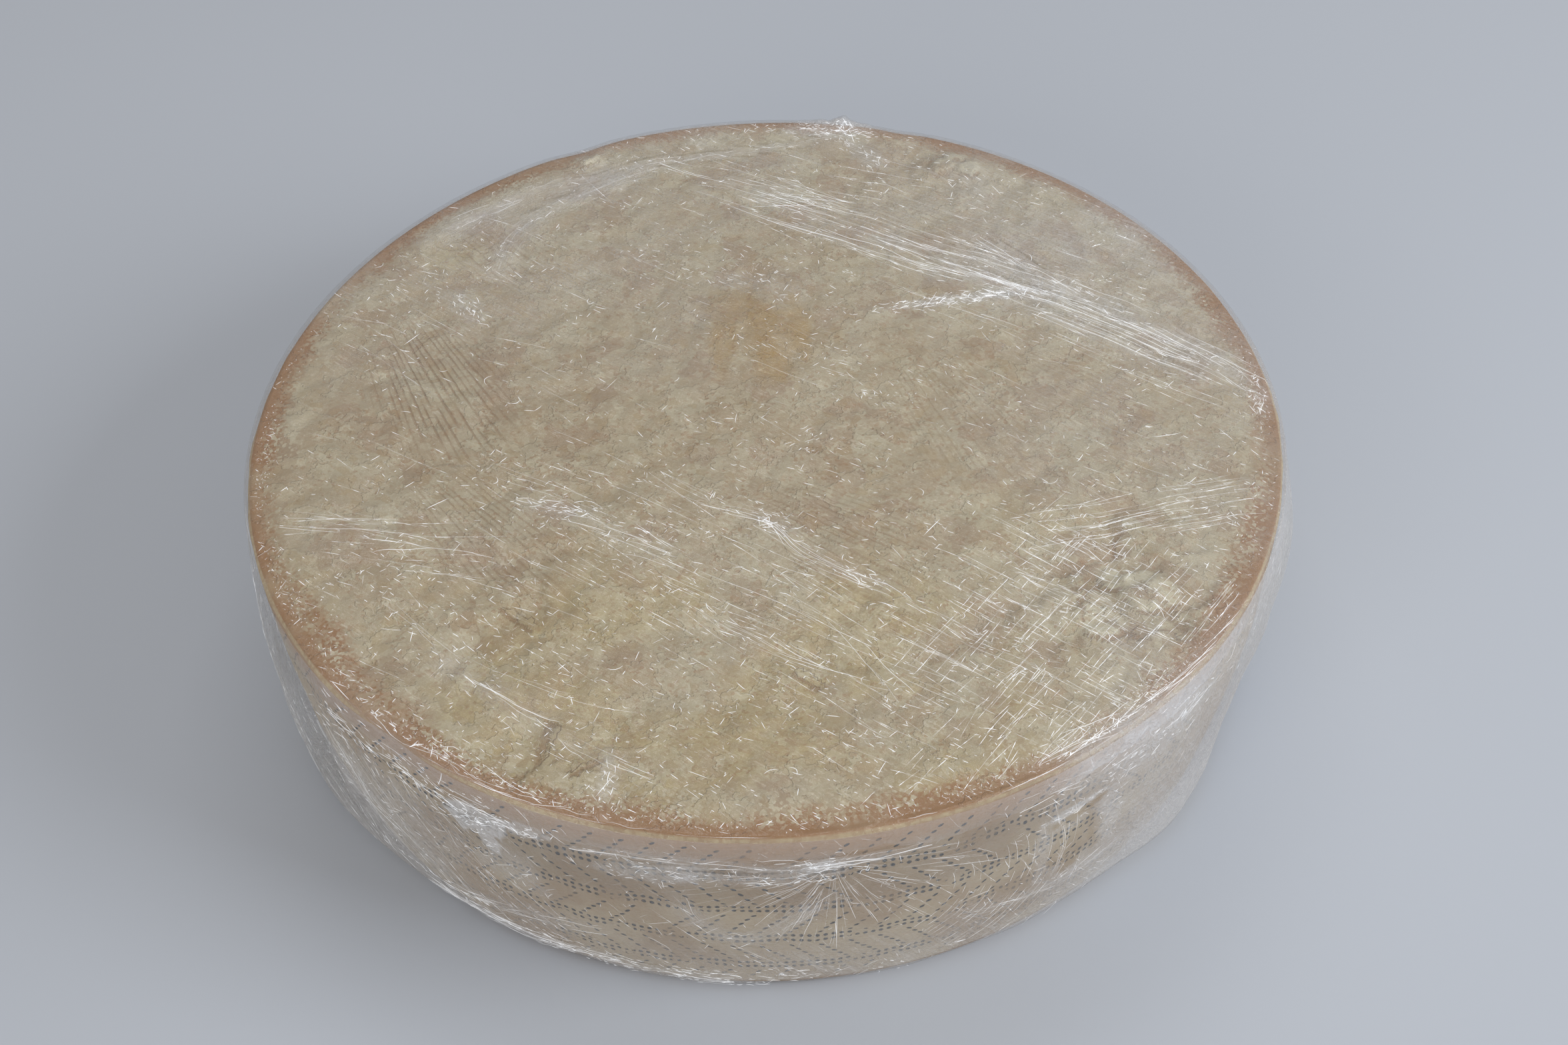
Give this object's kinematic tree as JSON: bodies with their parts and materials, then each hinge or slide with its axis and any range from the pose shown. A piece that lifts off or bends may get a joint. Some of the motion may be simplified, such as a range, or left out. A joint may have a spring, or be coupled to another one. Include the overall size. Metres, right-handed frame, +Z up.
{
  "type": "half wheel of hard cheese in clear film",
  "caption": "Half of a large drum-shaped wheel of hard grating cheese, split level, lying on its flat face with the rough broken face up, wrapped tight in clear stretch film.",
  "frame": {"origin": "middle of the flat face that the half wheel rests on, at the level of the surface under it", "axes": "+Z up, square to the broken face; -Y towards the near side shown by the picture; +X to the right of it"},
  "size_m": [0.4352, 0.43, 0.1179],
  "materials": {
    "cheese": "pale straw broken paste, granular, with a tan rind marked with dark dots",
    "clear_film": "thin clear stretch film with creases and hazy folds"
  },
  "bodies": {
    "root": {"wrapped_half_wheel": "cheese"}
  },
  "joints": []
}
